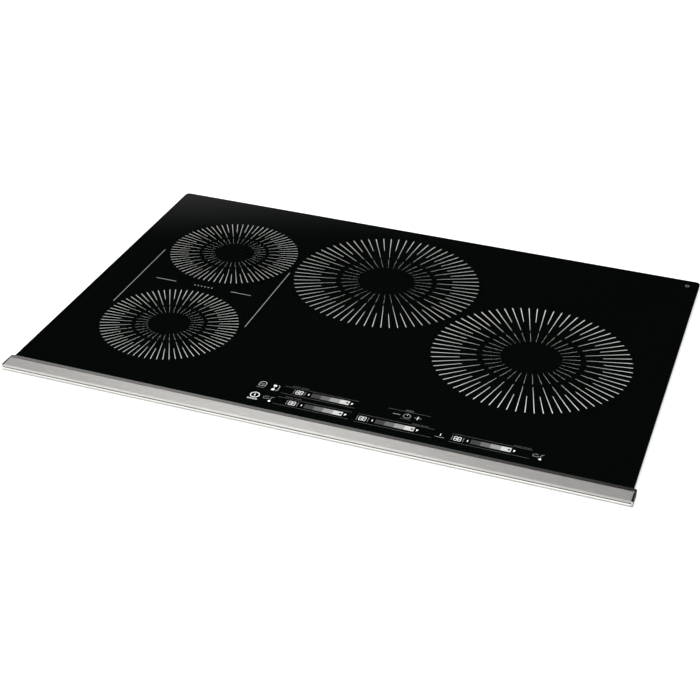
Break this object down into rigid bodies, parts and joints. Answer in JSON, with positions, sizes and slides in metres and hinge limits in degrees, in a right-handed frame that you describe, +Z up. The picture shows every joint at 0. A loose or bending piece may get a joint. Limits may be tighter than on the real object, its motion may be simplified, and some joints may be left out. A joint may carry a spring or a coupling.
{
  "type": "induction cooktop",
  "caption": "Drop-in induction cooktop: black ceramic glass with printed round zones and touch controls, brushed front trim, burner box below.",
  "frame": {"origin": "under the middle of the burner box, at its floor", "axes": "+X to the right, +Y to the rear, +Z up; the front trim is at -Y"},
  "size_m": [0.786, 0.538, 0.1014],
  "materials": {
    "black_glass": "glossy opaque black ceramic glass with pale grey print",
    "polished_steel": "polished",
    "brushed_steel": "brushed along its length",
    "foam": "closed-cell foam",
    "galvanised_steel": "galvanised sheet",
    "zinc_plate": "zinc plated",
    "aluminium": "satin",
    "copper": "wound wire",
    "ferrite": "sintered",
    "mica": "pressed sheet",
    "black_plastic": "moulded",
    "circuit_board": "solder resist",
    "yellow_film": "smooth"
  },
  "bodies": {
    "cooktop": {"glass_top": "black_glass", "front_trim": "polished_steel", "trim_plate": "brushed_steel", "seal_gasket": "foam", "glass_frame": "galvanised_steel", "burner_box": "galvanised_steel", "box_screw_left_front": "zinc_plate", "bracket_screw_left_front": "zinc_plate", "box_screw_left_rear": "zinc_plate", "bracket_screw_left_rear": "zinc_plate", "box_screw_right_front": "zinc_plate", "bracket_screw_right_front": "zinc_plate", "box_screw_right_rear": "zinc_plate", "bracket_screw_right_rear": "zinc_plate", "coil_winding_left_rear": "copper", "coil_support_left_rear": "black_plastic", "ferrite_star_left_rear": "ferrite", "mica_disc_left_rear": "mica", "temp_sensor_left_rear": "black_plastic", "coil_winding_left_front": "copper", "coil_support_left_front": "black_plastic", "ferrite_star_left_front": "ferrite", "mica_disc_left_front": "mica", "temp_sensor_left_front": "black_plastic", "coil_winding_centre_rear": "copper", "coil_support_centre_rear": "black_plastic", "ferrite_star_centre_rear": "ferrite", "mica_disc_centre_rear": "mica", "temp_sensor_centre_rear": "black_plastic", "coil_winding_right_front": "copper", "coil_support_right_front": "black_plastic", "ferrite_star_right_front": "ferrite", "mica_disc_right_front": "mica", "temp_sensor_right_front": "black_plastic", "coil_tray_left": "aluminium", "power_board_left": "circuit_board", "heat_sink_left": "aluminium", "bus_capacitor_left": "yellow_film", "fan_housing_left": "black_plastic", "hold_down_bracket_left": "zinc_plate", "coil_tray_right": "aluminium", "power_board_right": "circuit_board", "heat_sink_right": "aluminium", "bus_capacitor_right": "yellow_film", "fan_housing_right": "black_plastic", "hold_down_bracket_right": "zinc_plate", "filter_board": "circuit_board", "filter_choke": "copper", "ui_board": "circuit_board", "ui_bracket": "black_plastic", "terminal_block": "black_plastic", "supply_gland": "black_plastic", "terminal_cover": "galvanised_steel"},
    "fan_left": {"fan_impeller_left": "black_plastic"},
    "fan_right": {"fan_impeller_right": "black_plastic"},
    "clamp_foot_left": {"clamp_foot_left": "black_plastic"},
    "clamp_foot_right": {"clamp_foot_right": "black_plastic"},
    "clamp_screw_left": {"clamp_screw_left": "zinc_plate"},
    "clamp_screw_right": {"clamp_screw_right": "zinc_plate"}
  },
  "joints": [
    {"name": "fan_spin_left", "type": "hinge", "parent": "cooktop", "child": "fan_left", "pos_m": [-0.2498, 0.1918, 0.014], "axis": [0, 0, 1], "continuous": true},
    {"name": "clamp_feed_left", "type": "slide", "parent": "cooktop", "child": "clamp_foot_left", "axis": [0, 0, 1], "range_m": [0, 0.025]},
    {"name": "clamp_turn_left", "type": "hinge", "parent": "clamp_foot_left", "child": "clamp_screw_left", "pos_m": [-0.383, 0, 0.025], "axis": [0, 0, 1], "range_deg": [0, 7200]},
    {"name": "fan_spin_right", "type": "hinge", "parent": "cooktop", "child": "fan_right", "pos_m": [0.2498, 0.1918, 0.014], "axis": [0, 0, 1], "continuous": true},
    {"name": "clamp_feed_right", "type": "slide", "parent": "cooktop", "child": "clamp_foot_right", "axis": [0, 0, 1], "range_m": [0, 0.025]},
    {"name": "clamp_turn_right", "type": "hinge", "parent": "clamp_foot_right", "child": "clamp_screw_right", "pos_m": [0.383, 0, 0.025], "axis": [0, 0, 1], "range_deg": [0, 7200]}
  ],
  "couplings": [
    {"joint": "clamp_turn_left", "follows": "clamp_feed_left", "rad_per_m": 5026.5},
    {"joint": "clamp_turn_right", "follows": "clamp_feed_right", "rad_per_m": 5026.5}
  ]
}
